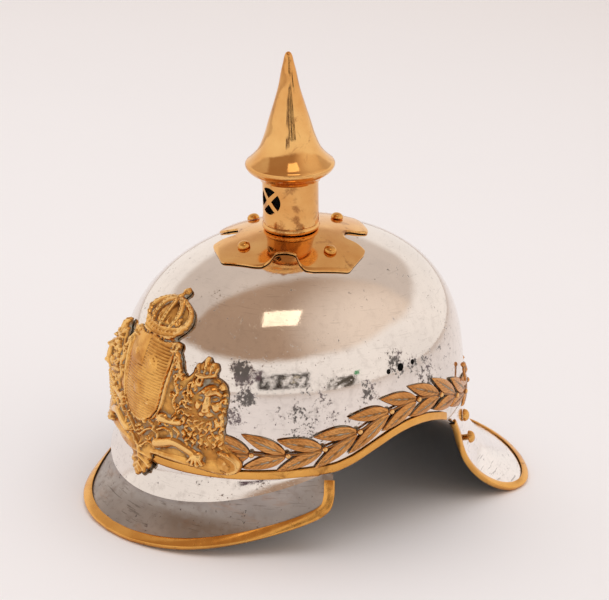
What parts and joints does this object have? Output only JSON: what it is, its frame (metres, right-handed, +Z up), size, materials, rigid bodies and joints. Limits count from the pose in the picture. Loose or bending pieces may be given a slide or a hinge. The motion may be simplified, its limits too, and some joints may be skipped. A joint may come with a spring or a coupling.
{
  "type": "spiked parade helmet",
  "caption": "Polished steel parade helmet with a screw-in brass spike, cast front plate of crowned lions, leaf garlands, flared visor and tail-shaped neck guard.",
  "frame": {"origin": "centre of the bounding box at the surface the helmet stands on", "axes": "+Z up, the face side towards -Y, the wearer's left towards +X"},
  "size_m": [0.1958, 0.3123, 0.2818],
  "materials": {
    "steel": "nickel-plated and mirror polished, with dark pits and tarnish",
    "yellow_brass": "polished on the high places, grey-green in the recesses",
    "red_brass": "worn copper-coloured brass with dark recesses",
    "gilt_brass": "bright polished copper-gold with brown stains"
  },
  "bodies": {
    "root": {"skull": "steel", "front_visor": "steel", "visor_trim": "yellow_brass", "neck_guard": "steel", "neck_trim": "yellow_brass", "edge_band": "yellow_brass", "garland_left": "red_brass", "garland_right": "red_brass", "front_plate": "yellow_brass", "spike_base": "gilt_brass", "neck_ring": "gilt_brass", "vent_neck": "gilt_brass", "spike": "gilt_brass", "base_stud_front": "yellow_brass", "base_stud_left": "yellow_brass", "base_stud_back": "yellow_brass", "base_stud_right": "yellow_brass", "upper_rivet_left": "yellow_brass", "upper_rivet_right": "yellow_brass", "lower_rivet_left": "yellow_brass", "lower_rivet_right": "yellow_brass", "berry_pin_left": "red_brass", "berry_pin_right": "red_brass"}
  },
  "joints": []
}
